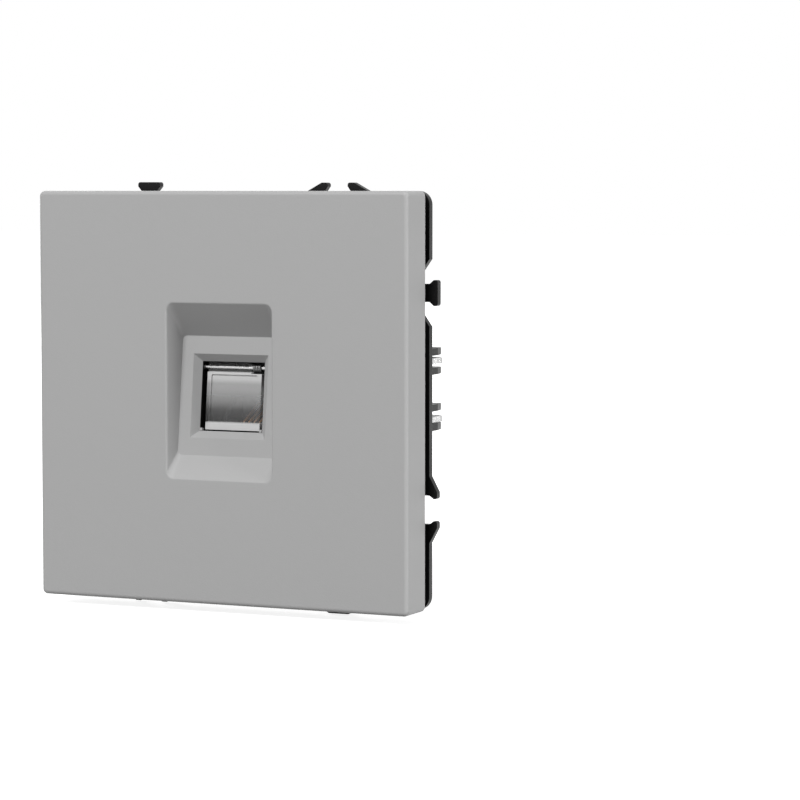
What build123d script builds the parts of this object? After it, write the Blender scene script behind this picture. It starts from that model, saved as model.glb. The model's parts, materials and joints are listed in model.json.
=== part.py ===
from build123d import *
import os
from math import cos, radians, sin

# A flush telephone wall socket: a square cover plate clipped over a dovetailed
# support frame, a round two-part housing with spreading claws, and a jack module
# with its terminal cap behind. The origin is the centre of the support frame's
# rear face, which lies on the wall. X runs to the right, Z up, and Y into the wall.

os.makedirs("parts", exist_ok=True)

# Clearances
slide_gap = 0.3
pin_gap = 0.05
seat_gap = 0.1

# Support frame
gang_pitch = 71.0
frame_gap = 1.0
frame_thick = 1.2
frame_corner = 2.3
link_offset = 18.1
link_reach = 1.5
link_depth = 1.6
link_half_width = 5.6
link_inner_half = 3.35
tab_tip_half = 2.15
tab_neck_half = 1.5
jaw_mouth_half = 1.85
jaw_inner_half = 2.4
horn_tip_half = 3.0
link_corner = 0.4
box_screw_circle = 60.0
slot_width = 4.0
slot_length = 6.6
collar_radius = 25.0
collar_wall = 1.3
collar_open_angle = 64.0
finger_spread = 2.2
finger_thick = 0.8
finger_width = 4.0
stud_x = 23.5
stud_z = 28.3
stud_radius = 0.7
stud_head_radius = 1.15

# Cover plate
cover_side = 70.0
cover_depth = 7.0
cover_front_y = -10.0
cover_wall = 1.8
cover_edge_radius = 0.7
cover_corner_radius = 0.9
pocket_width = 20.0
pocket_height = 30.0
pocket_rise = 1.15
pocket_corner = 1.3
pocket_edge_radius = 0.35
pocket_floor_width = 18.8
pocket_floor_height = 20.4
pocket_floor_rise = 0.2
pocket_floor_depth = 3.8
pocket_floor_corner = 0.8
pocket_tilt = 6.0
pocket_wall = 1.4
window_side = 11.9
window_bevel = 1.2
window_land = 2.8
window_wall = 1.6
peg_x = 27.0
peg_z = 19.8
peg_radius = 1.9
peg_reach = 0.9
rib_thick = 1.2
rib_depth = 2.2
rib_spacing = 20.0

# Dust shutter
shutter_pin_diameter = 0.6
shutter_pin_depth = 2.1
shutter_pin_drop = 0.9
shutter_side_gap = 0.75
shutter_thick = 0.9
shutter_barrel_radius = 0.85
shutter_length = 10.75
shutter_top_rim = 1.3
shutter_foot_rim = 1.6
shutter_dish = 0.25
spring_length = 1.8
spring_wire = 0.3
spring_turns = 5
spring_groove_share = 0.3
spring_groove_depth = 0.1
stop_nib = 0.5

# Housing
flange_overhang = 1.85
flange_depth = 3.8
flange_dips = 20
flange_dip_radius = 7.0
flange_dip_depth = 0.7
body_radius = 23.5
body_step = 1.6
body_seam_y = 6.65
body_back_y = 13.0
body_band_half = 14.8
body_crown_half = 9.0
body_lobe_drop = 0.25
body_edge = 0.4
claw_notch_half = 6.1
claw_recess_half = 8.8
claw_notch_inset = 7.9

# Jack module
neck_width = 18.4
neck_overlap = 1.0
carrier_half_height = 7.3
carrier_back_y = 31.15
carrier_front_y = -1.0
tunnel_side = 11.9
tunnel_end_y = 24.6
rib_outer_inset = 0.2
outer_rib_z = 6.65
outer_rib_thick = 1.3
inner_rib_z = 3.25
inner_rib_thick = 1.2
rib_overrun = 0.25
rib_slope_length = 2.75
rib_slope_drop = 0.6
screw_block_front_y = 14.1
screw_block_back_y = 20.6
screw_block_half = 4.15
grip_back_y = 23.4
jack_back_y = 15.4
plug_width = 9.95
plug_floor_z = -4.6
plug_top_z = 2.2
plug_depth_y = 8.3
latch_way_width = 6.4
latch_way_top_z = 3.7
contact_count = 4
contact_pitch = 1.02
contact_thick = 0.3
contact_width = 0.5
contact_base_z = -5.4
contact_front_y = 2.45
contact_tip_y = 8.0
contact_tip_z = -1.9
terminal_first_y = 16.6
terminal_step = 2.1
terminal_width = 1.8
terminal_foot_z = -9.5
terminal_slot = 0.4
comb_top_z = -1.0
hook_rise = 2.4
hook_shelf = 1.85
hook_back_y = 15.4
hook_half_width = 5.0
catch_y = 17.65
catch_length = 2.15
shelf_end_y = 22.4
tail_end_y = 29.1
tail_half_width = 4.2
tail_drop = 0.15

# Terminal cap and its latch
cap_half_width = 7.2
cap_front_y = 13.2
cap_back_y = 26.0
cap_top_gap = 0.3
cap_front_depth = 3.05
cap_foot_depth = 4.35
cap_lip_length = 1.3
cap_lip_rise = 0.3
cap_back_slope = 0.5
cap_wall = 1.1
cap_pivot_inset = 1.0
cap_pivot_drop = 1.15
cap_pivot_radius = 0.6
cap_corner_radius = 0.85
cap_ear_width = 1.1
cap_ear_radius = 1.0
latch_pivot_y = 15.5
latch_pivot_z = -11.7
latch_pivot_radius = 0.4
latch_half_width = 6.6
latch_nose_y = 14.1
latch_nose_height = 1.55
latch_tail = 0.6
latch_lug_half = 2.3
latch_lug_radius = 0.75

# Claws
claw_screw_inset = 3.3
claw_travel = 1.6
claw_sheet = 1.0
claw_half_height = 5.65
claw_bend_radius = 1.5
claw_width_in = 2.0
claw_side_gap = 1.0
claw_width_out = 4.1
claw_web_y = 10.65
claw_end_y = 29.8
claw_leg_in = 0.1
claw_cam_start_y = 14.6
ramp_clear = 0.5
claw_cam_end_y = 16.8
tooth_first_y = 15.8
tooth_last_y = 27.4
tooth_pitch = 0.85
tooth_depth = 0.5
tip_cut = 1.4
yoke_half_height = 3.05
yoke_nose_radius = 1.6
yoke_front_y = 7.25
yoke_arm = 1.1
screw_head_y = 4.9
screw_head_height = 1.45
screw_head_radius = 2.4
screw_head_round = 0.87
screw_shank_radius = 1.2
screw_end_y = 17.4
screw_slot_width = 0.7
screw_slot_depth = 0.8
washer_radius = 3.3
washer_thick = 0.65

# Worked out from the values above
frame_edge = (gang_pitch - frame_gap) / 2
cover_rim_y = cover_front_y + cover_depth
tilt = radians(pocket_tilt)
pocket_floor = Plane(
    origin=(0, cover_front_y + pocket_floor_depth, pocket_floor_rise),
    x_dir=(1, 0, 0),
    z_dir=(0, -cos(tilt), sin(tilt)),
)
shutter_half = window_side / 2 - shutter_side_gap
pin_height = window_side / 2 - shutter_pin_drop
pin_centre = pocket_floor.from_local_coords(Vector(0, pin_height, -shutter_pin_depth))
shutter_reach = shutter_length + slide_gap
flange_radius = body_radius + flange_overhang
claw_screw_x = body_radius - claw_screw_inset
carrier_half_width = claw_screw_x - claw_width_in - claw_side_gap
claw_notch_floor = body_radius - claw_notch_inset
rib_outer_x = body_radius - rib_outer_inset
access_radius = screw_head_radius + slide_gap
yoke_centre_y = claw_web_y - seat_gap - yoke_nose_radius
leg_half_height = claw_half_height - claw_sheet
ramp_top_x = claw_screw_x - claw_leg_in - ramp_clear
ramp_start_y = claw_cam_start_y - ramp_clear + seat_gap
finger_front_y = cover_rim_y + seat_gap
finger_height = -frame_thick - finger_front_y
rib_end_y = carrier_back_y + rib_overrun
cap_top_z = -carrier_half_height - cap_top_gap
cap_pivot_y = cap_back_y - cap_pivot_inset
cap_pivot_z = -carrier_half_height - cap_pivot_drop
cap_ear_x = cap_half_width - cap_wall - seat_gap - cap_ear_width / 2


def wall_plane(y):
    """The plane parallel to the wall at depth y, with X to the right and Z up."""
    return Plane.XZ.offset(-y)


def save(builder, name):
    """Label one finished piece and write it out."""
    builder.part.label = name
    export_step(builder.part, f"parts/{name}.step")


def is_link_corner(edge):
    """Whether an upright edge is an outer corner of a dovetail tab or horn."""
    middle = edge.center()
    return max(abs(middle.X), abs(middle.Z)) > frame_edge + link_reach / 2


def body_outline(y, band_inner_half):
    """The body's outline at depth y: a core, two crowns, and bands at both sides."""
    with BuildSketch(wall_plane(y)) as bands:
        Circle(body_radius)
        with GridLocations(0, body_band_half + band_inner_half, 1, 2):
            Rectangle(2 * body_radius, body_band_half - band_inner_half, mode=Mode.INTERSECT)
    with BuildSketch(wall_plane(y)) as outline:
        Circle(body_radius)
        Rectangle(2 * body_crown_half, 2 * body_radius, mode=Mode.INTERSECT)
        Circle(body_radius - body_step)
        add(bands.sketch_local)
    return outline.sketch


def side_notches(y, half_height):
    """The notches at both sides, at depth y, that hold the claw screws and yokes."""
    notch_depth = flange_radius - claw_notch_floor
    notch_x = claw_notch_floor + notch_depth / 2
    with BuildSketch(wall_plane(y)) as notches:
        with GridLocations(2 * notch_x, 0, 2, 1):
            Rectangle(notch_depth, 2 * half_height)
    return notches.sketch


def neck_opening(y):
    """The opening at depth y that the neck of the jack module passes through."""
    with BuildSketch(wall_plane(y)) as opening:
        Rectangle(neck_width + 2 * seat_gap, 2 * carrier_half_height + 2 * seat_gap)
    return opening.sketch


def rib_outline(side, front_y, z):
    """One rib's outline at height z, seen from above, with a sloping rear end."""
    with BuildSketch(Plane.XY.offset(z)) as outline:
        Polygon(
            (side * carrier_half_width, front_y),
            (side * rib_outer_x, front_y),
            (side * rib_outer_x, rib_end_y - rib_slope_length),
            (side * (rib_outer_x - rib_slope_drop), rib_end_y),
            (side * (carrier_half_width - rib_slope_drop), rib_end_y),
            (side * (carrier_half_width - rib_slope_drop), front_y),
            align=None,
        )
    return outline.sketch


def contact_x(number):
    """The X of one contact's middle, counted from the left."""
    return contact_pitch * (number - (contact_count - 1) / 2)


# Cover plate: a shallow tray with the sunk plug pocket and the window in its floor
with BuildPart() as cover_plate:
    with BuildSketch(wall_plane(cover_rim_y)):
        RectangleRounded(cover_side, cover_side, cover_corner_radius)
    extrude(amount=cover_depth)
    fillet(cover_plate.faces().sort_by(Axis.Y)[0].edges(), cover_edge_radius)
    with BuildSketch(wall_plane(cover_rim_y)):
        RectangleRounded(cover_side - 2 * cover_wall, cover_side - 2 * cover_wall, cover_wall)
    extrude(amount=cover_depth - cover_wall, mode=Mode.SUBTRACT)
    with BuildSketch(wall_plane(cover_front_y + cover_wall + rib_depth)):
        with GridLocations(0, rib_spacing, 1, 4):
            Rectangle(cover_side - 2 * cover_wall, rib_thick)
        with GridLocations(rib_spacing, 0, 4, 1):
            Rectangle(rib_thick, cover_side - 2 * cover_wall)
    extrude(amount=rib_depth)
    with BuildSketch(wall_plane(-peg_reach)):
        with GridLocations(2 * peg_x, 2 * peg_z, 2, 2):
            Circle(peg_radius)
    extrude(amount=-cover_front_y - cover_wall - peg_reach)
    with BuildSketch(wall_plane(cover_front_y + cover_edge_radius)):
        with Locations((0, pocket_rise)):
            RectangleRounded(pocket_width + 2 * pocket_wall, pocket_height + 2 * pocket_wall, pocket_corner)
    with BuildSketch(pocket_floor.offset(-pocket_wall)):
        RectangleRounded(
            pocket_floor_width + 2 * pocket_wall, pocket_floor_height + 2 * pocket_wall, pocket_corner
        )
    loft()
    with BuildSketch(pocket_floor.offset(-window_bevel - window_land)):
        RectangleRounded(window_side + 2 * window_wall, window_side + 2 * window_wall, pocket_floor_corner)
    extrude(amount=window_bevel + window_land - pocket_wall / 2)
    with BuildSketch(wall_plane(cover_front_y)):
        with Locations((0, pocket_rise)):
            RectangleRounded(pocket_width, pocket_height, pocket_corner)
    with BuildSketch(pocket_floor):
        RectangleRounded(pocket_floor_width, pocket_floor_height, pocket_floor_corner)
    loft(mode=Mode.SUBTRACT)
    with BuildSketch(pocket_floor):
        Rectangle(window_side + 2 * window_bevel, window_side + 2 * window_bevel)
    extrude(amount=-window_bevel, taper=45, mode=Mode.SUBTRACT)
    with BuildSketch(pocket_floor):
        Rectangle(window_side, window_side)
    extrude(amount=-window_bevel - window_land, mode=Mode.SUBTRACT)
    with BuildSketch(Plane(origin=pin_centre, z_dir=(1, 0, 0))):
        Circle(shutter_pin_diameter / 2 + pin_gap)
    extrude(amount=window_side / 2 + window_wall - pin_gap, both=True, mode=Mode.SUBTRACT)
    mouth = cover_plate.faces().filter_by(Axis.Y).sort_by(Axis.Y)[0].inner_wires()[0]
    fillet(mouth.edges(), pocket_edge_radius)
    stop_plane = pocket_floor.offset(-shutter_pin_depth + shutter_thick / 2 + seat_gap)
    with BuildSketch(stop_plane):
        nib_x = window_side - stop_nib
        with Locations((-nib_x / 2, -nib_x / 2), (nib_x / 2, -nib_x / 2)):
            Rectangle(stop_nib, stop_nib)
    extrude(amount=stop_nib)
save(cover_plate, "cover_plate")

# Dust shutter: a flap with a cupped upper edge that turns on the window pin
shutter_plane = pocket_floor.offset(-shutter_pin_depth)
with BuildPart() as dust_shutter:
    with BuildSketch(shutter_plane.offset(-shutter_thick / 2)):
        with Locations((0, pin_height - shutter_length / 2)):
            Rectangle(2 * shutter_half, shutter_length)
    extrude(amount=shutter_thick)
    with BuildSketch(Plane(origin=pin_centre, z_dir=(1, 0, 0))):
        Circle(shutter_barrel_radius)
    extrude(amount=shutter_half, both=True)
    dish_height = shutter_length - shutter_top_rim - shutter_foot_rim
    with BuildSketch(shutter_plane.offset(shutter_thick / 2)):
        with Locations((0, pin_height - shutter_top_rim - dish_height / 2)):
            RectangleRounded(2 * shutter_half - shutter_foot_rim, dish_height, shutter_dish)
    extrude(amount=-shutter_dish, mode=Mode.SUBTRACT)
    with BuildSketch(Plane(origin=pin_centre, z_dir=(1, 0, 0))):
        Circle(shutter_pin_diameter / 2 + pin_gap)
    extrude(amount=shutter_half, both=True, mode=Mode.SUBTRACT)
    with BuildSketch(shutter_plane.offset(shutter_pin_diameter / 4)):
        with Locations((0, pin_height)):
            Rectangle(2 * shutter_half, 2 * shutter_barrel_radius)
    extrude(amount=shutter_barrel_radius, mode=Mode.SUBTRACT)
    spring_pocket = spring_length + 2 * seat_gap
    with BuildSketch(Plane(origin=pin_centre, z_dir=(1, 0, 0)).offset(shutter_half - spring_pocket)):
        Circle(shutter_barrel_radius + spring_wire)
    extrude(amount=spring_pocket, mode=Mode.SUBTRACT)
save(dust_shutter, "dust_shutter")

with BuildPart() as shutter_pin:
    with BuildSketch(Plane(origin=pin_centre, z_dir=(1, 0, 0))):
        Circle(shutter_pin_diameter / 2)
    extrude(amount=window_side / 2 + window_wall - 2 * pin_gap, both=True)
    fillet(shutter_pin.edges().filter_by(GeomType.CIRCLE), shutter_pin_diameter / 8)
save(shutter_pin, "shutter_pin")

# The shutter spring: close coils round the pin, drawn as touching rings
spring_start = shutter_half - spring_length - seat_gap
spring_pitch = spring_length / spring_turns
spring_inner = shutter_pin_diameter / 2 + pin_gap
coil_groove = spring_pitch * spring_groove_share
with BuildPart() as shutter_spring:
    with BuildSketch(Plane(origin=pin_centre, z_dir=(1, 0, 0)).offset(spring_start)):
        Circle(spring_inner + spring_wire)
        Circle(spring_inner, mode=Mode.SUBTRACT)
    extrude(amount=spring_length)
    for turn in range(1, spring_turns):
        groove_start = spring_start + spring_pitch * turn - coil_groove / 2
        with BuildSketch(Plane(origin=pin_centre, z_dir=(1, 0, 0)).offset(groove_start)):
            Circle(spring_inner + 2 * spring_wire)
            Circle(spring_inner + spring_wire - spring_groove_depth, mode=Mode.SUBTRACT)
        extrude(amount=coil_groove, mode=Mode.SUBTRACT)
save(shutter_spring, "shutter_spring")

# Support frame: four-fold dovetail links, slots for the box screws, spring fingers
# round the cover pegs, and a collar that carries the cover's rear face
with BuildPart() as support_frame:
    with BuildSketch(wall_plane(0)):
        RectangleRounded(2 * frame_edge, 2 * frame_edge, frame_corner)
        tab_line = link_offset
        jaw_line = -link_offset
        root = frame_edge - link_depth
        tip = frame_edge + link_reach
        with PolarLocations(0, 4):
            Polygon(
                (tip, tab_line + link_half_width),
                (frame_edge, tab_line + link_half_width),
                (root, tab_line + link_inner_half),
                (root, tab_line - link_inner_half),
                (frame_edge, tab_line - link_half_width),
                (tip, tab_line - link_half_width),
                align=None,
                mode=Mode.SUBTRACT,
            )
        with PolarLocations(0, 4):
            Polygon(
                (root, tab_line + tab_neck_half),
                (frame_edge, tab_line + tab_neck_half),
                (frame_edge + link_reach / 2, tab_line + tab_tip_half),
                (tip, tab_line + tab_tip_half),
                (tip, tab_line - tab_tip_half),
                (frame_edge + link_reach / 2, tab_line - tab_tip_half),
                (frame_edge, tab_line - tab_neck_half),
                (root, tab_line - tab_neck_half),
                align=None,
            )
        with PolarLocations(0, 4):
            Polygon(
                (root, jaw_line + link_half_width),
                (frame_edge, jaw_line + link_half_width),
                (tip - seat_gap, jaw_line + horn_tip_half),
                (tip - seat_gap, jaw_line - horn_tip_half),
                (frame_edge, jaw_line - link_half_width),
                (root, jaw_line - link_half_width),
                align=None,
            )
        with PolarLocations(0, 4):
            Polygon(
                (root - seat_gap, jaw_line + jaw_inner_half),
                (frame_edge, jaw_line + jaw_inner_half),
                (frame_edge + link_reach / 2, jaw_line + jaw_mouth_half),
                (tip, jaw_line + jaw_mouth_half),
                (tip, jaw_line - jaw_mouth_half),
                (frame_edge + link_reach / 2, jaw_line - jaw_mouth_half),
                (frame_edge, jaw_line - jaw_inner_half),
                (root - seat_gap, jaw_line - jaw_inner_half),
                align=None,
                mode=Mode.SUBTRACT,
            )
        Rectangle(neck_width + 2 * seat_gap, 2 * carrier_half_height + 2 * seat_gap, mode=Mode.SUBTRACT)
        with PolarLocations(box_screw_circle / 2, 4):
            SlotOverall(slot_length, slot_width, mode=Mode.SUBTRACT)
        with GridLocations(2 * claw_screw_x, 0, 2, 1):
            Circle(access_radius, mode=Mode.SUBTRACT)
        with GridLocations(2 * peg_x, 2 * peg_z, 2, 2):
            Circle(peg_radius + slide_gap, mode=Mode.SUBTRACT)
    extrude(amount=frame_thick)
    fillet(support_frame.edges().filter_by(Axis.Y).filter_by(is_link_corner), link_corner)
    with BuildSketch(wall_plane(-frame_thick)):
        Circle(collar_radius)
        Circle(collar_radius - collar_wall, mode=Mode.SUBTRACT)
        wedge_x = 2 * collar_radius * sin(radians(collar_open_angle))
        wedge_z = 2 * collar_radius * cos(radians(collar_open_angle))
        Polygon(
            (0, 0),
            (wedge_x, wedge_z),
            (0, 2 * collar_radius),
            (-wedge_x, wedge_z),
            align=None,
            mode=Mode.SUBTRACT,
        )
    extrude(amount=finger_height)
    for side in (-1, 1):
        for level in (-1, 1):
            for lean in (-1, 1):
                near = level * peg_z + lean * (peg_radius + slide_gap)
                far = near + lean * finger_spread
                with BuildSketch(Plane.YZ.offset(side * peg_x)):
                    Polygon(
                        (-frame_thick, near),
                        (-frame_thick, near + lean * finger_thick),
                        (finger_front_y, far + lean * finger_thick),
                        (finger_front_y, far),
                        align=None,
                    )
                extrude(amount=finger_width / 2, both=True)
    with BuildSketch(wall_plane(-frame_thick)):
        with GridLocations(2 * stud_x, 2 * stud_z, 2, 2):
            Circle(stud_radius)
    extrude(amount=finger_height)
    with BuildSketch(wall_plane(-frame_thick - finger_height + stud_radius)):
        with GridLocations(2 * stud_x, 2 * stud_z, 2, 2):
            Circle(stud_head_radius)
    extrude(amount=stud_radius)
save(support_frame, "support_frame")

# Front housing: the flange behind the frame, with a wavy rear rim, and four arms
# that reach back to the rear housing
with BuildPart() as housing_front:
    with BuildSketch(wall_plane(flange_depth)):
        Circle(flange_radius)
    extrude(amount=flange_depth)
    for step in range(flange_dips):
        angle = radians(360 / flange_dips * step)
        dip_plane = Plane(
            origin=((body_radius - body_step) * cos(angle), 0, (body_radius - body_step) * sin(angle)),
            x_dir=(0, 1, 0),
            z_dir=(cos(angle), 0, sin(angle)),
        )
        with BuildSketch(dip_plane):
            with Locations((flange_depth + flange_dip_radius - flange_dip_depth, 0)):
                Circle(flange_dip_radius)
        extrude(amount=flange_radius, mode=Mode.SUBTRACT)
    extrude(body_outline(body_seam_y, claw_recess_half), amount=body_seam_y - flange_depth / 2)
    with BuildSketch(wall_plane(flange_depth)):
        with GridLocations(2 * claw_screw_x, 0, 2, 1):
            Circle(access_radius)
    extrude(amount=flange_depth, mode=Mode.SUBTRACT)
    recess_depth = body_seam_y - flange_depth
    extrude(side_notches(body_seam_y, claw_recess_half), amount=recess_depth, mode=Mode.SUBTRACT)
    extrude(neck_opening(body_seam_y), amount=body_seam_y, mode=Mode.SUBTRACT)
save(housing_front, "housing_front")

with BuildPart() as housing_rear:
    body_depth = body_back_y - body_seam_y
    extrude(body_outline(body_back_y - body_edge, 0), amount=body_depth - body_edge)
    extrude(body_outline(body_back_y - body_edge, 0), amount=-body_edge, taper=45)
    with BuildSketch(wall_plane(body_back_y)):
        with GridLocations(0, 2 * body_radius, 1, 2):
            Rectangle(2 * body_radius, 2 * (body_radius - body_band_half))
    extrude(amount=body_lobe_drop, mode=Mode.SUBTRACT)
    extrude(side_notches(body_back_y, claw_notch_half), amount=body_depth, mode=Mode.SUBTRACT)
    extrude(neck_opening(body_back_y), amount=body_depth, mode=Mode.SUBTRACT)
save(housing_rear, "housing_rear")

# Jack module: one moulding with the neck, the tunnel for the plug, and the ribs
# and ramps that guide the claws
with BuildPart() as jack_carrier:
    with BuildSketch(wall_plane(carrier_back_y)):
        Rectangle(2 * carrier_half_width, 2 * carrier_half_height)
    extrude(amount=carrier_back_y - body_back_y - seat_gap)
    with BuildSketch(wall_plane(body_back_y + neck_overlap)):
        Rectangle(neck_width, 2 * carrier_half_height)
    extrude(amount=body_back_y + neck_overlap - carrier_front_y)
    for side in (-1, 1):
        rib_x = side * (carrier_half_width + rib_outer_x) / 2
        rib_reach = rib_outer_x - carrier_half_width
        for z in (-outer_rib_z, outer_rib_z):
            outline = rib_outline(side, body_back_y + seat_gap, z - outer_rib_thick / 2)
            extrude(outline, amount=outer_rib_thick)
        for z in (-inner_rib_z, inner_rib_z):
            outline = rib_outline(side, screw_block_back_y, z - inner_rib_thick / 2)
            extrude(outline, amount=inner_rib_thick)
        with BuildSketch(wall_plane(screw_block_back_y)):
            with Locations((rib_x, 0)):
                Rectangle(rib_reach, 2 * screw_block_half)
        extrude(amount=screw_block_back_y - screw_block_front_y)
        with BuildSketch(wall_plane(grip_back_y)):
            with Locations((rib_x - side * rib_reach / 4, 0)):
                Rectangle(rib_reach / 2, 2 * inner_rib_z)
        extrude(amount=grip_back_y - screw_block_back_y)
        for z in (-outer_rib_z, inner_rib_z):
            with BuildSketch(Plane.XY.offset(z)):
                Polygon(
                    (side * carrier_half_width, ramp_start_y),
                    (side * ramp_top_x, ramp_start_y + ramp_top_x - carrier_half_width),
                    (side * ramp_top_x, carrier_back_y - 2 * claw_sheet),
                    (side * carrier_half_width, carrier_back_y - claw_sheet),
                    align=None,
                )
            extrude(amount=outer_rib_z - inner_rib_z)
    with BuildSketch(wall_plane(screw_block_front_y)):
        with GridLocations(2 * claw_screw_x, 0, 2, 1):
            Circle(screw_shank_radius + pin_gap)
    extrude(amount=-(screw_end_y + claw_travel + slide_gap - screw_block_front_y), mode=Mode.SUBTRACT)
    with BuildSketch(Plane.YZ):
        Polygon(
            (body_back_y + seat_gap, carrier_half_height),
            (body_back_y + seat_gap, carrier_half_height + hook_rise),
            (hook_back_y, carrier_half_height + hook_rise),
            (hook_back_y, carrier_half_height + hook_shelf),
            (shelf_end_y, carrier_half_height + hook_shelf),
            (shelf_end_y, carrier_half_height),
            align=None,
        )
        Polygon(
            (catch_y, carrier_half_height + hook_shelf),
            (catch_y, carrier_half_height + hook_rise),
            (catch_y + catch_length, carrier_half_height + hook_shelf),
            align=None,
        )
    extrude(amount=hook_half_width, both=True)
    tail_height = hook_shelf - tail_drop
    with BuildSketch(Plane.XY.offset(carrier_half_height)):
        with Locations((0, (shelf_end_y + tail_end_y) / 2)):
            Rectangle(2 * tail_half_width, tail_end_y - shelf_end_y)
    extrude(amount=tail_height)
    for ear_x in (-cap_ear_x, cap_ear_x):
        with BuildSketch(Plane.YZ.offset(ear_x)):
            with Locations((cap_pivot_y, cap_pivot_z)):
                Circle(cap_ear_radius)
            with Locations((cap_pivot_y, cap_pivot_z + cap_pivot_drop / 2)):
                Rectangle(2 * cap_ear_radius, cap_pivot_drop)
            with Locations((cap_pivot_y, cap_pivot_z)):
                Circle(cap_pivot_radius + pin_gap, mode=Mode.SUBTRACT)
        extrude(amount=cap_ear_width / 2, both=True)
    with BuildSketch(wall_plane(carrier_front_y)):
        Rectangle(tunnel_side, tunnel_side)
    extrude(amount=-(tunnel_end_y - carrier_front_y), mode=Mode.SUBTRACT)
    with BuildSketch(Plane.XY.offset(-carrier_half_height)):
        for number in range(contact_count):
            with Locations((contact_x(number), terminal_first_y + terminal_step * number)):
                Rectangle(terminal_width + 2 * seat_gap, contact_thick + 2 * seat_gap)
    extrude(amount=carrier_half_height, mode=Mode.SUBTRACT)
save(jack_carrier, "jack_carrier")

# Jack insert: the plug's seat, hollowed in front by the sweep of the shutter
with BuildPart() as jack_body:
    jack_side = tunnel_side - 2 * seat_gap
    with BuildSketch(wall_plane(jack_back_y)):
        Rectangle(jack_side, jack_side)
    extrude(amount=jack_back_y - carrier_front_y)
    with BuildSketch(wall_plane(plug_depth_y)):
        with Locations((0, (plug_floor_z + plug_top_z) / 2)):
            Rectangle(plug_width, plug_top_z - plug_floor_z)
        with Locations((0, (plug_floor_z + latch_way_top_z) / 2)):
            Rectangle(latch_way_width, latch_way_top_z - plug_floor_z)
    extrude(amount=plug_depth_y - carrier_front_y, mode=Mode.SUBTRACT)
    with BuildSketch(Plane(origin=pin_centre, z_dir=(1, 0, 0))):
        Circle(shutter_reach)
    extrude(amount=tunnel_side / 2, both=True, mode=Mode.SUBTRACT)
    groove_width = contact_width + 2 * seat_gap
    with BuildSketch(Plane.YZ):
        Polygon(
            (carrier_front_y, -tunnel_side / 2),
            (carrier_front_y, plug_floor_z),
            (plug_depth_y, plug_floor_z),
            (plug_depth_y, contact_base_z + contact_thick),
            (jack_back_y, contact_base_z + contact_thick),
            (jack_back_y, -tunnel_side / 2),
            align=None,
        )
    groove_fill = extrude(amount=groove_width / 2, both=True, mode=Mode.PRIVATE)
    with Locations(*[(contact_x(number), 0, 0) for number in range(contact_count)]):
        add(groove_fill, mode=Mode.SUBTRACT)
save(jack_body, "jack_body")

# Four contacts: each a strip that springs up into the plug's way, folds under the
# insert and runs back to its own slotted terminal blade
for number in range(contact_count):
    blade_y = terminal_first_y + terminal_step * number
    with BuildPart() as contact:
        with BuildSketch(Plane.YZ.offset(contact_x(number))):
            with BuildLine():
                Polyline(
                    (contact_tip_y, contact_tip_z),
                    (contact_front_y, plug_floor_z - contact_thick / 2),
                    (contact_front_y, contact_base_z),
                    (blade_y, contact_base_z),
                )
            trace(line_width=contact_thick)
        extrude(amount=contact_width / 2, both=True)
        with BuildSketch(wall_plane(blade_y + contact_thick / 2)):
            blade_height = contact_base_z - terminal_foot_z
            with Locations((contact_x(number), contact_base_z - blade_height / 2)):
                Rectangle(terminal_width, blade_height)
            with Locations((contact_x(number), terminal_foot_z + blade_height / 4)):
                Rectangle(terminal_slot, blade_height / 2, mode=Mode.SUBTRACT)
        extrude(amount=contact_thick)
    save(contact, f"contact_{number + 1}")

# The comb behind the insert, which holds the contacts down in the tunnel
with BuildPart() as contact_comb:
    comb_front = jack_back_y + seat_gap
    with BuildSketch(wall_plane(tunnel_end_y - seat_gap)):
        comb_floor = contact_base_z + contact_thick / 2 + pin_gap
        with Locations((0, (comb_floor + comb_top_z) / 2)):
            Rectangle(jack_side, comb_top_z - comb_floor)
    extrude(amount=tunnel_end_y - seat_gap - comb_front)
save(contact_comb, "contact_comb")

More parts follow.
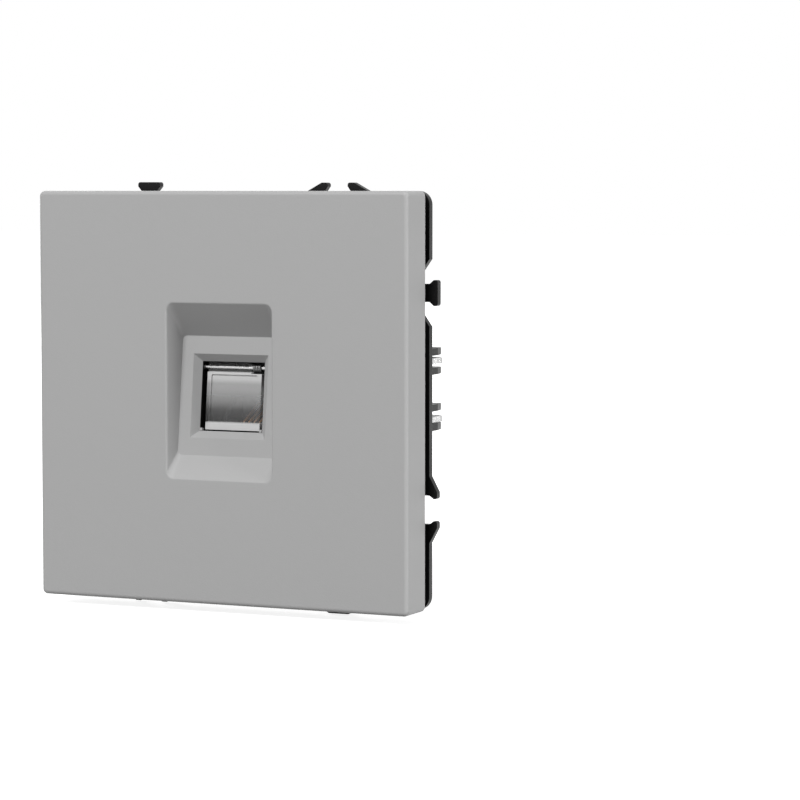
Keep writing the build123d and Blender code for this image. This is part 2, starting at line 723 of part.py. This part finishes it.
# Terminal cap: the hinged white lid over the terminal blades
cap_foot_z = cap_top_z - cap_foot_depth
cap_front_z = cap_top_z - cap_front_depth
with BuildPart() as wire_cap:
    with BuildSketch(Plane.YZ):
        Polygon(
            (cap_front_y, cap_top_z),
            (cap_back_y, cap_top_z),
            (cap_back_y - cap_back_slope, cap_foot_z + cap_lip_rise),
            (cap_back_y - cap_back_slope - cap_lip_length, cap_foot_z + cap_lip_rise),
            (cap_back_y - cap_back_slope - cap_lip_length, cap_foot_z),
            (cap_front_y, cap_front_z),
            align=None,
        )
    extrude(amount=cap_half_width, both=True)
    fillet(wire_cap.edges().filter_by(Axis.X).group_by(Axis.Z)[-1].sort_by(Axis.Y)[-1], cap_corner_radius)
    hollow_back = cap_back_y - cap_back_slope - cap_wall
    with BuildSketch(Plane.YZ):
        Polygon(
            (cap_front_y + cap_wall, cap_top_z),
            (hollow_back, cap_top_z),
            (hollow_back, cap_foot_z + cap_wall),
            (cap_front_y + cap_wall, cap_front_z + cap_wall),
            align=None,
        )
    extrude(amount=cap_half_width - cap_wall, both=True, mode=Mode.SUBTRACT)
    ear_slot = cap_ear_radius + seat_gap
    for ear_x in (-cap_ear_x, cap_ear_x):
        with BuildSketch(Plane.YZ.offset(ear_x)):
            with Locations((cap_pivot_y - ear_slot, cap_pivot_z - ear_slot)):
                Rectangle(2 * ear_slot + cap_pivot_inset, 3 * ear_slot, align=(Align.MIN, Align.MIN))
        extrude(amount=cap_ear_width / 2 + seat_gap, both=True, mode=Mode.SUBTRACT)
        with BuildSketch(Plane.YZ.offset(ear_x)):
            with Locations((cap_pivot_y, cap_pivot_z)):
                Circle(cap_pivot_radius)
        extrude(amount=cap_ear_width / 2 + 2 * seat_gap, both=True)
    with BuildSketch(Plane.YZ):
        with Locations((latch_pivot_y, latch_pivot_z)):
            Circle(latch_lug_radius)
        with Locations((latch_pivot_y, (latch_pivot_z + cap_front_z) / 2)):
            Rectangle(2 * latch_lug_radius, cap_front_z - latch_pivot_z)
    extrude(amount=latch_lug_half, both=True)
    with BuildSketch(Plane.YZ):
        with Locations((latch_pivot_y, latch_pivot_z)):
            Circle(latch_pivot_radius + pin_gap)
    extrude(amount=latch_lug_half, both=True, mode=Mode.SUBTRACT)
save(wire_cap, "wire_cap")

# The latch lever that holds the cap shut: a wedge whose pin turns in a lug of the cap
with BuildPart() as cap_latch:
    latch_front_y = cap_front_y + pin_gap
    latch_foot_z = latch_pivot_z - latch_nose_height
    with BuildSketch(Plane.YZ):
        Polygon(
            (latch_front_y, latch_pivot_z + latch_lug_radius),
            (latch_pivot_y - latch_pivot_radius, latch_pivot_z + latch_tail),
            (latch_pivot_y + latch_tail, latch_pivot_z + latch_pivot_radius / 2),
            (latch_pivot_y + latch_tail, latch_pivot_z - latch_pivot_radius / 2),
            (latch_nose_y, latch_foot_z),
            (latch_front_y, latch_foot_z + pin_gap),
            align=None,
        )
    extrude(amount=latch_half_width, both=True)
    with BuildSketch(Plane.YZ):
        with Locations((latch_pivot_y + slide_gap, latch_pivot_z)):
            Rectangle(2 * (latch_lug_radius + slide_gap) + slide_gap, 3 * latch_nose_height)
    extrude(amount=latch_lug_half + seat_gap, both=True, mode=Mode.SUBTRACT)
    with BuildSketch(Plane.YZ):
        with Locations((latch_pivot_y, latch_pivot_z)):
            Circle(latch_pivot_radius)
    extrude(amount=latch_lug_half + 2 * seat_gap, both=True)
save(cap_latch, "cap_latch")


def make_claw(side):
    """The spreading claw at one side: a U of sheet steel with toothed edges."""
    leg_inner_x = side * (claw_screw_x - claw_leg_in)
    outer_x = side * (claw_screw_x + claw_width_out)
    web_inner_x = side * (claw_screw_x - claw_width_in)
    with BuildPart() as claw:
        with BuildSketch(Plane.YZ.offset(web_inner_x)):
            with Locations(((claw_web_y + claw_end_y) / 2, 0)):
                RectangleRounded(claw_end_y - claw_web_y, 2 * claw_half_height, claw_bend_radius)
            with Locations((claw_end_y - claw_bend_radius / 2, 0)):
                Rectangle(claw_bend_radius, 2 * claw_half_height)
            with Locations(((claw_web_y + claw_end_y) / 2 + claw_sheet, 0)):
                Rectangle(claw_end_y - claw_web_y, 2 * leg_half_height, mode=Mode.SUBTRACT)
        extrude(amount=outer_x - web_inner_x)
        with BuildSketch(Plane.XY.offset(-claw_half_height)):
            Polygon(
                (web_inner_x - side * claw_sheet, claw_cam_start_y),
                (web_inner_x, claw_cam_start_y),
                (leg_inner_x, claw_cam_end_y),
                (leg_inner_x, claw_end_y + claw_sheet),
                (web_inner_x - side * claw_sheet, claw_end_y + claw_sheet),
                align=None,
            )
            tooth_count = int((tooth_last_y - tooth_first_y) / tooth_pitch) + 1
            for n in range(tooth_count):
                tooth_y = tooth_first_y + tooth_pitch * n
                Polygon(
                    (outer_x, tooth_y - tooth_pitch / 2),
                    (outer_x - side * tooth_depth, tooth_y),
                    (outer_x, tooth_y + tooth_pitch / 2),
                    align=None,
                )
            Polygon(
                (outer_x, claw_end_y - tip_cut),
                (outer_x - side * tip_cut, claw_end_y),
                (outer_x, claw_end_y),
                align=None,
            )
        extrude(amount=2 * claw_half_height, mode=Mode.SUBTRACT)
        with BuildSketch(wall_plane(claw_web_y + claw_sheet)):
            with Locations((side * claw_screw_x, 0)):
                Circle(screw_shank_radius + slide_gap)
            with Locations((side * (claw_screw_x - claw_width_in), 0)):
                Rectangle(2 * claw_width_in, 2 * (screw_shank_radius + slide_gap))
        extrude(amount=2 * claw_sheet, both=True, mode=Mode.SUBTRACT)
    return claw


def make_yoke(side):
    """The zinc yoke that the screw presses against the claw's web."""
    with BuildPart() as yoke:
        with BuildSketch(Plane.XY.offset(-yoke_half_height)):
            with Locations((side * claw_screw_x, yoke_centre_y)):
                Circle(yoke_nose_radius)
            with Locations((side * claw_screw_x, (yoke_front_y + yoke_centre_y) / 2)):
                Rectangle(2 * yoke_nose_radius, yoke_centre_y - yoke_front_y)
        extrude(amount=2 * yoke_half_height)
        with BuildSketch(Plane.YZ.offset(side * claw_screw_x)):
            with Locations((yoke_front_y, 0)):
                RectangleRounded(
                    2 * (yoke_centre_y - yoke_front_y), 2 * (yoke_half_height - yoke_arm), yoke_arm / 2
                )
        extrude(amount=2 * yoke_nose_radius, both=True, mode=Mode.SUBTRACT)
        with BuildSketch(wall_plane(yoke_front_y)):
            with Locations((side * claw_screw_x, 0)):
                Circle(screw_shank_radius + pin_gap)
        extrude(amount=-(claw_web_y - yoke_front_y), mode=Mode.SUBTRACT)
        fillet(yoke.edges().filter_by(Axis.X).group_by(Axis.Z)[-1], yoke_arm / 3)
        fillet(yoke.edges().filter_by(Axis.X).group_by(Axis.Z)[0], yoke_arm / 3)
    return yoke


def make_claw_screw(side):
    """The pan-head screw that spreads a claw, with a cross slot for the driver."""
    with BuildPart() as screw:
        with BuildSketch(wall_plane(screw_head_y + screw_head_height)):
            with Locations((side * claw_screw_x, 0)):
                Circle(screw_head_radius)
        extrude(amount=screw_head_height)
        fillet(screw.faces().sort_by(Axis.Y)[0].edges(), screw_head_round)
        with BuildSketch(wall_plane(screw_end_y)):
            with Locations((side * claw_screw_x, 0)):
                Circle(screw_shank_radius)
        extrude(amount=screw_end_y - screw_head_y - screw_head_height)
        chamfer(screw.faces().sort_by(Axis.Y)[-1].edges(), screw_shank_radius / 3)
        with BuildSketch(wall_plane(screw_head_y)):
            with Locations((side * claw_screw_x, 0)):
                Rectangle(2 * screw_head_radius, screw_slot_width)
                Rectangle(screw_slot_width, 2 * screw_head_radius)
        extrude(amount=-screw_slot_depth, mode=Mode.SUBTRACT)
    return screw


def make_claw_washer(side):
    """The washer under the screw's head."""
    with BuildPart() as washer:
        with BuildSketch(wall_plane(screw_head_y + screw_head_height + washer_thick)):
            with Locations((side * claw_screw_x, 0)):
                Circle(washer_radius)
                Circle(screw_shank_radius + pin_gap, mode=Mode.SUBTRACT)
        extrude(amount=washer_thick)
        fillet(washer.edges().filter_by(GeomType.CIRCLE).group_by(SortBy.RADIUS)[-1], washer_thick / 4)
    return washer


for side, hand in ((-1, "left"), (1, "right")):
    save(make_claw(side), f"claw_{hand}")
    save(make_yoke(side), f"claw_yoke_{hand}")
    save(make_claw_screw(side), f"claw_screw_{hand}")
    save(make_claw_washer(side), f"claw_washer_{hand}")
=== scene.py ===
import json
import math

import bpy
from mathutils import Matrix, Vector


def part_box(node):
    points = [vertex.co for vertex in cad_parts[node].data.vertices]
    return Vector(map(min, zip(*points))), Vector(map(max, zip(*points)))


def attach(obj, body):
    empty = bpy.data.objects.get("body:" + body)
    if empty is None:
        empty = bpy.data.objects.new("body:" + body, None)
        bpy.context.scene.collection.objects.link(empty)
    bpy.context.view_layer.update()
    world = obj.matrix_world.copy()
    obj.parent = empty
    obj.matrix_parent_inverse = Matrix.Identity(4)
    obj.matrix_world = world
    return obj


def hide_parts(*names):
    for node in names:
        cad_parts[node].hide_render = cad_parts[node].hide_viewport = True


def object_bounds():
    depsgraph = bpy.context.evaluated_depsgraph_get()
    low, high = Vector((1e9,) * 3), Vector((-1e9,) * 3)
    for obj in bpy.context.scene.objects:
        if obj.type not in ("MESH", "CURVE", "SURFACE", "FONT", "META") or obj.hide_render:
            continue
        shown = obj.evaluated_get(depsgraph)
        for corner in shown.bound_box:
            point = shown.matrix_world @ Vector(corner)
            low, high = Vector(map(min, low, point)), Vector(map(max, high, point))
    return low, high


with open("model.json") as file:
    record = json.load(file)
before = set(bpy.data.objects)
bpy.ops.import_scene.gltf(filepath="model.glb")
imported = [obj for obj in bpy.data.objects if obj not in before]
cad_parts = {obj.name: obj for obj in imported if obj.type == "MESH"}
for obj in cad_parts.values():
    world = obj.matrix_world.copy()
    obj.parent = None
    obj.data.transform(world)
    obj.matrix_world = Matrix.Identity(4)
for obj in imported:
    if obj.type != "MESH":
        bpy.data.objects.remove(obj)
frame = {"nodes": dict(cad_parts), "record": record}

# Everything is in metres, in the frame of the CAD model: X to the right, Z up and
# Y into the wall, with the origin on the wall behind the middle of the cover.
cad_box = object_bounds()
MM = 0.001

# The curve between a picture's values and linear light
SRGB_KNEE = 0.04045
SRGB_SLOPE = 12.92
SRGB_OFFSET = 0.055
SRGB_POWER = 2.4
WHITE_VALUE = 255


def srgb(value):
    """A picture value from 0 to 255 as linear light."""
    part = value / WHITE_VALUE
    if part <= SRGB_KNEE:
        return part / SRGB_SLOPE
    return ((part + SRGB_OFFSET) / (1 + SRGB_OFFSET)) ** SRGB_POWER


def grey(value):
    """A neutral colour from one picture value."""
    level = srgb(value)
    return (level, level, level, 1.0)


def tint(red, green, blue):
    """A colour from three picture values."""
    return (srgb(red), srgb(green), srgb(blue), 1.0)


# Materials: how the noise in a finish is made, and the number of its patches in a metre
NOISE_ROUGHNESS = 0.55
NOISE_FLOOR = 0.3
NOISE_CEILING = 0.7
PATCH_DETAIL = 3.0
GRAIN_DETAIL = 2.0
EDGE_SAMPLES = 6
BROAD_PATCHES = 60.0


def add_node(tree, kind, **values):
    """A shader node with some of its inputs set."""
    node = tree.nodes.new(kind)
    for name, value in values.items():
        node.inputs[name.replace("_", " ")].default_value = value
    return node


def noise_between(tree, scale, low, high, detail):
    """Noise in the object's own coordinates, spread from low to high."""
    place = tree.nodes.new("ShaderNodeTexCoord")
    noise = add_node(tree, "ShaderNodeTexNoise", Scale=scale, Detail=detail, Roughness=NOISE_ROUGHNESS)
    tree.links.new(place.outputs["Object"], noise.inputs["Vector"])
    spread = tree.nodes.new("ShaderNodeMapRange")
    spread.inputs["From Min"].default_value = NOISE_FLOOR
    spread.inputs["From Max"].default_value = NOISE_CEILING
    spread.inputs["To Min"].default_value = low
    spread.inputs["To Max"].default_value = high
    tree.links.new(noise.outputs["Fac"], spread.inputs["Value"])
    return spread.outputs["Result"]


def make_material(name, colour, rough, grain, depth, edge, patches=BROAD_PATCHES, **surface):
    """A procedural finish: roughness in patches, a grain in the bump, and softened edges.

    rough is the lowest and highest roughness and patches the number of its patches in a
    metre. grain is the size of the surface's texture, depth its height and edge the radius
    that edges are softened by, all in metres.
    """
    material = bpy.data.materials.new(name)
    material.use_nodes = True
    tree = material.node_tree
    shader = tree.nodes["Principled BSDF"]
    shader.inputs["Base Color"].default_value = colour
    for key, value in surface.items():
        shader.inputs[key.replace("_", " ")].default_value = value
    roughness = noise_between(tree, patches, rough[0], rough[1], PATCH_DETAIL)
    tree.links.new(roughness, shader.inputs["Roughness"])
    soft = tree.nodes.new("ShaderNodeBevel")
    soft.samples = EDGE_SAMPLES
    soft.inputs["Radius"].default_value = edge
    bump = add_node(tree, "ShaderNodeBump", Distance=depth, Strength=1.0)
    height = noise_between(tree, 1 / grain, 0.0, 1.0, GRAIN_DETAIL)
    tree.links.new(height, bump.inputs["Height"])
    tree.links.new(soft.outputs["Normal"], bump.inputs["Normal"])
    tree.links.new(bump.outputs["Normal"], shader.inputs["Normal"])
    return material


def cover_material():
    """Matte grey moulding with a fine eroded texture."""
    return make_material(
        "cover_grey",
        colour=grey(170),
        rough=(0.5, 0.62),
        grain=0.22 * MM,
        depth=0.006 * MM,
        edge=0.18 * MM,
        Specular_IOR_Level=0.35,
    )


def black_material():
    """Black moulding, satin, with a slightly finer and deeper grain than the cover's."""
    return make_material(
        "black_plastic",
        colour=grey(13),
        rough=(0.3, 0.46),
        grain=0.16 * MM,
        depth=0.008 * MM,
        edge=0.12 * MM,
        Specular_IOR_Level=0.18,
    )


# How dense the flap is from its foot, at 0, to its top, at 1: pairs of height and alpha. The thick
# rims are denser, and their light grey is also a painted highlight; the grey over the upper half is a
# painted reflection
FLAP_DENSITY_AND_SHEEN = (
    (0.0, 0.9),
    (0.105, 0.85),
    (0.13, 0.06),
    (0.3, 0.1),
    (0.42, 0.26),
    (0.6, 0.46),
    (0.68, 0.52),
    (0.755, 0.88),
    (0.845, 0.94),
    (0.865, 0.1),
)


def flap_material():
    """Clear moulding that shows the jack behind it, denser at its two thick rims, with painted
    highlights on the rims and a painted reflection over its upper half.
    """
    material = make_material(
        "smoked_clear",
        colour=grey(206),
        rough=(0.08, 0.2),
        grain=1.5 * MM,
        depth=0.004 * MM,
        edge=0.1 * MM,
    )
    tree = material.node_tree
    low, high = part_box("dust_shutter")
    place = tree.nodes.new("ShaderNodeTexCoord")
    parts = tree.nodes.new("ShaderNodeSeparateXYZ")
    tree.links.new(place.outputs["Object"], parts.inputs[0])
    height = tree.nodes.new("ShaderNodeMapRange")
    height.inputs["From Min"].default_value = low[2]
    height.inputs["From Max"].default_value = high[2]
    tree.links.new(parts.outputs["Z"], height.inputs["Value"])
    density_and_sheen = tree.nodes.new("ShaderNodeValToRGB")
    tree.links.new(height.outputs["Result"], density_and_sheen.inputs["Fac"])
    ramp = density_and_sheen.color_ramp
    while len(ramp.elements) < len(FLAP_DENSITY_AND_SHEEN):
        ramp.elements.new(position=0.5)
    for element, (position, alpha) in zip(ramp.elements, FLAP_DENSITY_AND_SHEEN):
        element.position = position
        element.color = (alpha, alpha, alpha, 1.0)
    # painted highlight and painted reflection: the alpha lets the light grey show at the rims and over
    # the upper half
    tree.links.new(density_and_sheen.outputs["Color"], tree.nodes["Principled BSDF"].inputs["Alpha"])
    return material


def insert_material():
    """Dark grey moulding of the jack insert."""
    return make_material(
        "insert_grey",
        colour=grey(52),
        rough=(0.3, 0.45),
        grain=0.3 * MM,
        depth=0.005 * MM,
        edge=0.1 * MM,
    )


def steel_material():
    """Bright drawn steel with small dull patches."""
    return make_material(
        "bright_steel",
        colour=grey(180),
        rough=(0.18, 0.4),
        grain=0.2 * MM,
        depth=0.008 * MM,
        edge=0.08 * MM,
        patches=900.0,
        Metallic=1.0,
    )


def spring_material():
    """Dark spring wire."""
    return make_material(
        "spring_steel",
        colour=grey(120),
        rough=(0.25, 0.4),
        grain=0.1 * MM,
        depth=0.002 * MM,
        edge=0.03 * MM,
        patches=500.0,
        Metallic=1.0,
    )


def zinc_material():
    """Bright zinc plating, cool in tone, with cloudy patches."""
    return make_material(
        "zinc_plate",
        colour=tint(214, 219, 226),
        rough=(0.14, 0.36),
        grain=0.3 * MM,
        depth=0.008 * MM,
        edge=0.1 * MM,
        patches=700.0,
        Metallic=1.0,
    )


def washer_material():
    """Zinc plating with the warmer tone of its sealing."""
    return make_material(
        "warm_zinc",
        colour=tint(214, 208, 188),
        rough=(0.2, 0.4),
        grain=0.3 * MM,
        depth=0.008 * MM,
        edge=0.1 * MM,
        patches=700.0,
        Metallic=1.0,
    )


def gold_material():
    """Gold plated contact strip, dulled enough to show through the flap."""
    return make_material(
        "gold_wire",
        colour=tint(238, 188, 144),
        rough=(0.3, 0.45),
        grain=0.2 * MM,
        depth=0.003 * MM,
        edge=0.05 * MM,
        patches=600.0,
        Metallic=0.6,
    )


def cap_material():
    """Milky white moulding that lets a little light through."""
    return make_material(
        "white_cap",
        colour=grey(232),
        rough=(0.3, 0.42),
        grain=0.4 * MM,
        depth=0.006 * MM,
        edge=0.15 * MM,
        Subsurface_Weight=0.25,
        Subsurface_Scale=1.5 * MM,
    )


def lever_material():
    """Warm white moulding of the cap's latch."""
    return make_material(
        "ivory_lever",
        colour=tint(226, 219, 208),
        rough=(0.34, 0.46),
        grain=0.4 * MM,
        depth=0.006 * MM,
        edge=0.12 * MM,
    )


finishes = {
    "cover_grey": cover_material(),
    "black_plastic": black_material(),
    "smoked_clear": flap_material(),
    "insert_grey": insert_material(),
    "bright_steel": steel_material(),
    "spring_steel": spring_material(),
    "zinc_plate": zinc_material(),
    "warm_zinc": washer_material(),
    "gold_wire": gold_material(),
    "white_cap": cap_material(),
    "ivory_lever": lever_material(),
}


def paint(obj, name):
    """Gives an object one finish on all its faces."""
    if not obj.data.materials:
        obj.data.materials.append(finishes[name])
    for index in range(len(obj.material_slots)):
        obj.material_slots[index].material = finishes[name]


def paint_nodes():
    """The finish of each CAD node, from the record's slots."""
    slots = {part["node"]: part["material_slot"] for part in frame["record"]["subparts"]}
    for node, obj in frame["nodes"].items():
        paint(obj, slots[node])


# Painted shade in the window: black on its two sides and top, for the shade in the gap round the
# shutter. The shutter's gap to each side of the window, how near to a side the shaded faces lie,
# how far from the shutter's top the shade reaches, and how squarely a face has to look inward
SHUTTER_SIDE_GAP = 0.75 * MM
SHADE_NEAR = 0.02 * MM
SHADE_REACH = 0.6 * MM
SQUARE_ON = 0.99


def shade_window_gap():
    """Painted shade: black on the window's two sides and top, inside the bevel, where the shutter
    hangs.
    """
    cover = frame["nodes"]["cover_plate"]
    shutter_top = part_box("dust_shutter")[1]
    half_width = shutter_top[0] + SHUTTER_SIDE_GAP
    # painted shade: the faces beside and above the shutter get the black finish, standing in for the
    # gap's shade
    cover.data.materials.append(finishes["black_plastic"])
    painted_shade = len(cover.data.materials) - 1
    for face in cover.data.polygons:
        centre = cover.matrix_world @ face.center
        on_side = abs(face.normal.x) > SQUARE_ON and abs(abs(centre.x) - half_width) < SHADE_NEAR
        faces_down = face.normal.z < -SQUARE_ON and abs(centre.x) < half_width
        on_top = faces_down and abs(centre.z - shutter_top[2]) < SHADE_REACH
        if (on_side or on_top) and abs(centre.z) < shutter_top[2] + SHADE_REACH:
            face.material_index = painted_shade


# Pieces made from wire: how round the wire is, the spring's wire and turns, and the
# thread, which starts behind the screw's front and ends before its tip
WIRE_ROUNDNESS = 3
SPRING_WIRE = 0.13 * MM
SPRING_TURNS = 5
SPRING_STEPS = 20
SHANK_RADIUS = 1.2 * MM
THREAD_RIDGE = 0.12 * MM
THREAD_SINK = 0.6
THREAD_PITCH = 0.5 * MM
THREAD_STEPS = 16
THREAD_START = 1.9 * MM
THREAD_END = 0.8 * MM


def tube(name, points, radius, finish, body):
    """A round wire along a list of points, as a mesh that rides on a body."""
    curve = bpy.data.curves.new(name, "CURVE")
    curve.dimensions = "3D"
    curve.bevel_depth = radius
    curve.bevel_resolution = WIRE_ROUNDNESS
    curve.use_fill_caps = True
    spline = curve.splines.new("POLY")
    spline.points.add(len(points) - 1)
    for point, place in zip(spline.points, points):
        point.co = (*place, 1.0)
    holder = bpy.data.objects.new(name + "_path", curve)
    bpy.context.scene.collection.objects.link(holder)
    bpy.context.view_layer.update()
    mesh = bpy.data.meshes.new_from_object(holder.evaluated_get(bpy.context.evaluated_depsgraph_get()))
    bpy.data.objects.remove(holder)
    mesh.name = name
    wire = bpy.data.objects.new(name, mesh)
    bpy.context.scene.collection.objects.link(wire)
    for face in mesh.polygons:
        face.use_smooth = True
    paint(wire, finish)
    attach(wire, body)
    return wire


def helix(radius, pitch, count, steps):
    """Points of a helix: how far along its axis, and the two distances from the axis."""
    points = []
    for step in range(count + 1):
        angle = 2 * math.pi * step / steps
        points.append((pitch * step / steps, radius * math.cos(angle), radius * math.sin(angle)))
    return points


def spring_coil():
    """The torsion spring: five turns of wire round the pin."""
    low, high = (Vector(corner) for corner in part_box("shutter_spring"))
    centre = (low + high) / 2
    radius = (high.z - low.z) / 2 - SPRING_WIRE
    pitch = (high.x - low.x - 2 * SPRING_WIRE) / SPRING_TURNS
    first = low.x + SPRING_WIRE
    turns = helix(radius, pitch, SPRING_TURNS * SPRING_STEPS, SPRING_STEPS)
    points = [(first + along, centre.y + across, centre.z + up) for along, across, up in turns]
    coil = tube("torsion_spring", points, SPRING_WIRE, "spring_steel", "housing")
    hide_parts("shutter_spring")


def screw_thread(hand):
    """The thread on one claw screw's shank, as a helical ridge."""
    low, high = (Vector(corner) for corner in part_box("claw_screw_" + hand))
    centre = (low + high) / 2
    first = low.y + THREAD_START
    last = high.y - THREAD_END
    count = int((last - first) / THREAD_PITCH * THREAD_STEPS)
    turns = helix(SHANK_RADIUS - THREAD_SINK * THREAD_RIDGE, THREAD_PITCH, count, THREAD_STEPS)
    points = [(centre.x + across, first + along, centre.z + up) for along, across, up in turns]
    tube("thread_" + hand, points, THREAD_RIDGE, "zinc_plate", "claw_screw_" + hand)


# The floor and the light: the floor as lit and as seen, and the strength of the world
FLOOR_SIDE = 8.0
FLOOR_DROP = 0.1 * MM
FLOOR_LIT = grey(130)
FLOOR_SEEN = grey(215)
FLOOR_GLOW = 0.84
WHITE = grey(WHITE_VALUE)
WORLD_STRENGTH = 0.26


def seeing_rays(tree):
    """1 for camera, glossy and transmission rays, and 0 for the rest."""
    path = tree.nodes.new("ShaderNodeLightPath")
    either = tree.nodes.new("ShaderNodeMath")
    either.operation = "MAXIMUM"
    tree.links.new(path.outputs["Is Camera Ray"], either.inputs[0])
    tree.links.new(path.outputs["Is Glossy Ray"], either.inputs[1])
    all_three = tree.nodes.new("ShaderNodeMath")
    all_three.operation = "MAXIMUM"
    tree.links.new(either.outputs[0], all_three.inputs[0])
    tree.links.new(path.outputs["Is Transmission Ray"], all_three.inputs[1])
    return all_three.outputs[0]


def stage_material():
    """White to the camera, with the object's shadow, and plain pale to the lamps."""
    material = bpy.data.materials.new("stage_white")
    material.use_nodes = True
    tree = material.node_tree
    tree.nodes.remove(tree.nodes["Principled BSDF"])
    plain = add_node(tree, "ShaderNodeBsdfDiffuse", Color=FLOOR_LIT)
    seen = add_node(tree, "ShaderNodeBsdfDiffuse", Color=FLOOR_SEEN)
    glow = add_node(tree, "ShaderNodeEmission", Color=WHITE, Strength=FLOOR_GLOW)
    lifted = tree.nodes.new("ShaderNodeAddShader")
    mix = tree.nodes.new("ShaderNodeMixShader")
    tree.links.new(seen.outputs[0], lifted.inputs[0])
    tree.links.new(glow.outputs[0], lifted.inputs[1])
    tree.links.new(seeing_rays(tree), mix.inputs[0])
    tree.links.new(plain.outputs[0], mix.inputs[1])
    tree.links.new(lifted.outputs[0], mix.inputs[2])
    tree.links.new(mix.outputs[0], tree.nodes["Material Output"].inputs["Surface"])
    return material


def make_floor():
    """A wide pale floor under the object's lowest point."""
    bpy.ops.mesh.primitive_plane_add(size=FLOOR_SIDE, location=(0, 0, cad_box[0][2] - FLOOR_DROP))
    floor = bpy.context.object
    floor.name = "floor"
    floor.data.materials.append(stage_material())


def make_world():
    """Even light from all round, white to the camera and in reflections."""
    world = bpy.data.worlds.new("studio")
    bpy.context.scene.world = world
    world.use_nodes = True
    tree = world.node_tree
    lit = tree.nodes["Background"]
    lit.inputs["Color"].default_value = WHITE
    lit.inputs["Strength"].default_value = WORLD_STRENGTH
    white = add_node(tree, "ShaderNodeBackground", Color=WHITE, Strength=1.0)
    mix = tree.nodes.new("ShaderNodeMixShader")
    tree.links.new(seeing_rays(tree), mix.inputs[0])
    tree.links.new(lit.outputs[0], mix.inputs[1])
    tree.links.new(white.outputs[0], mix.inputs[2])
    tree.links.new(mix.outputs[0], tree.nodes["World Output"].inputs["Surface"])


def add_lamp(name, place, side, power):
    """A square soft lamp that looks at the object, its power in watts."""
    data = bpy.data.lights.new(name, "AREA")
    data.shape = "SQUARE"
    data.size = side
    data.energy = power
    lamp = bpy.data.objects.new(name, data)
    bpy.context.scene.collection.objects.link(lamp)
    lamp.location = place
    aim = Vector((0, 0, 0)) - Vector(place)
    lamp.rotation_euler = aim.to_track_quat("-Z", "Y").to_euler()


def make_lights():
    """A key lamp high in front, one at the right for the sides and one behind at the left."""
    add_lamp("key_lamp", place=(-0.12, -1.1, 0.95), side=0.45, power=17.2)
    add_lamp("side_lamp", place=(1.3, -0.1, 0.14), side=0.45, power=11.6)
    add_lamp("back_lamp", place=(-0.95, 0.75, 0.35), side=0.6, power=8.5)


# The camera stands where the edges of the cover in the photograph say. Its distance is
# from the middle of the cover's face, and its lens and sensor are in millimetres.
CAMERA_AZIMUTH = math.radians(28.1)
CAMERA_DISTANCE = 0.5053
CAMERA_HEIGHT = 0.0352
CAMERA_TURN = math.radians(24.63)
CAMERA_TIP = math.radians(-4.01)
CAMERA_LENS = 135.0
CAMERA_SENSOR = 36.0
CAMERA_NEAREST = 0.01


def make_camera():
    """The camera at the photograph's viewing angle and framing."""
    data = bpy.data.cameras.new("camera")
    data.lens = CAMERA_LENS
    data.sensor_width = CAMERA_SENSOR
    data.clip_start = CAMERA_NEAREST
    camera = bpy.data.objects.new("camera", data)
    bpy.context.scene.collection.objects.link(camera)
    cover_front = Vector((0, cad_box[0][1], 0))
    away = Vector((math.sin(CAMERA_AZIMUTH), -math.cos(CAMERA_AZIMUTH), 0))
    camera.location = cover_front + CAMERA_DISTANCE * away + Vector((0, 0, CAMERA_HEIGHT))
    camera.rotation_euler = (math.pi / 2 + CAMERA_TIP, 0, CAMERA_TURN)
    bpy.context.scene.camera = camera


paint_nodes()
shade_window_gap()
spring_coil()
for hand in ("left", "right"):
    screw_thread(hand)
make_floor()
make_world()
make_lights()
make_camera()
bpy.context.scene.view_settings.view_transform = "Standard"
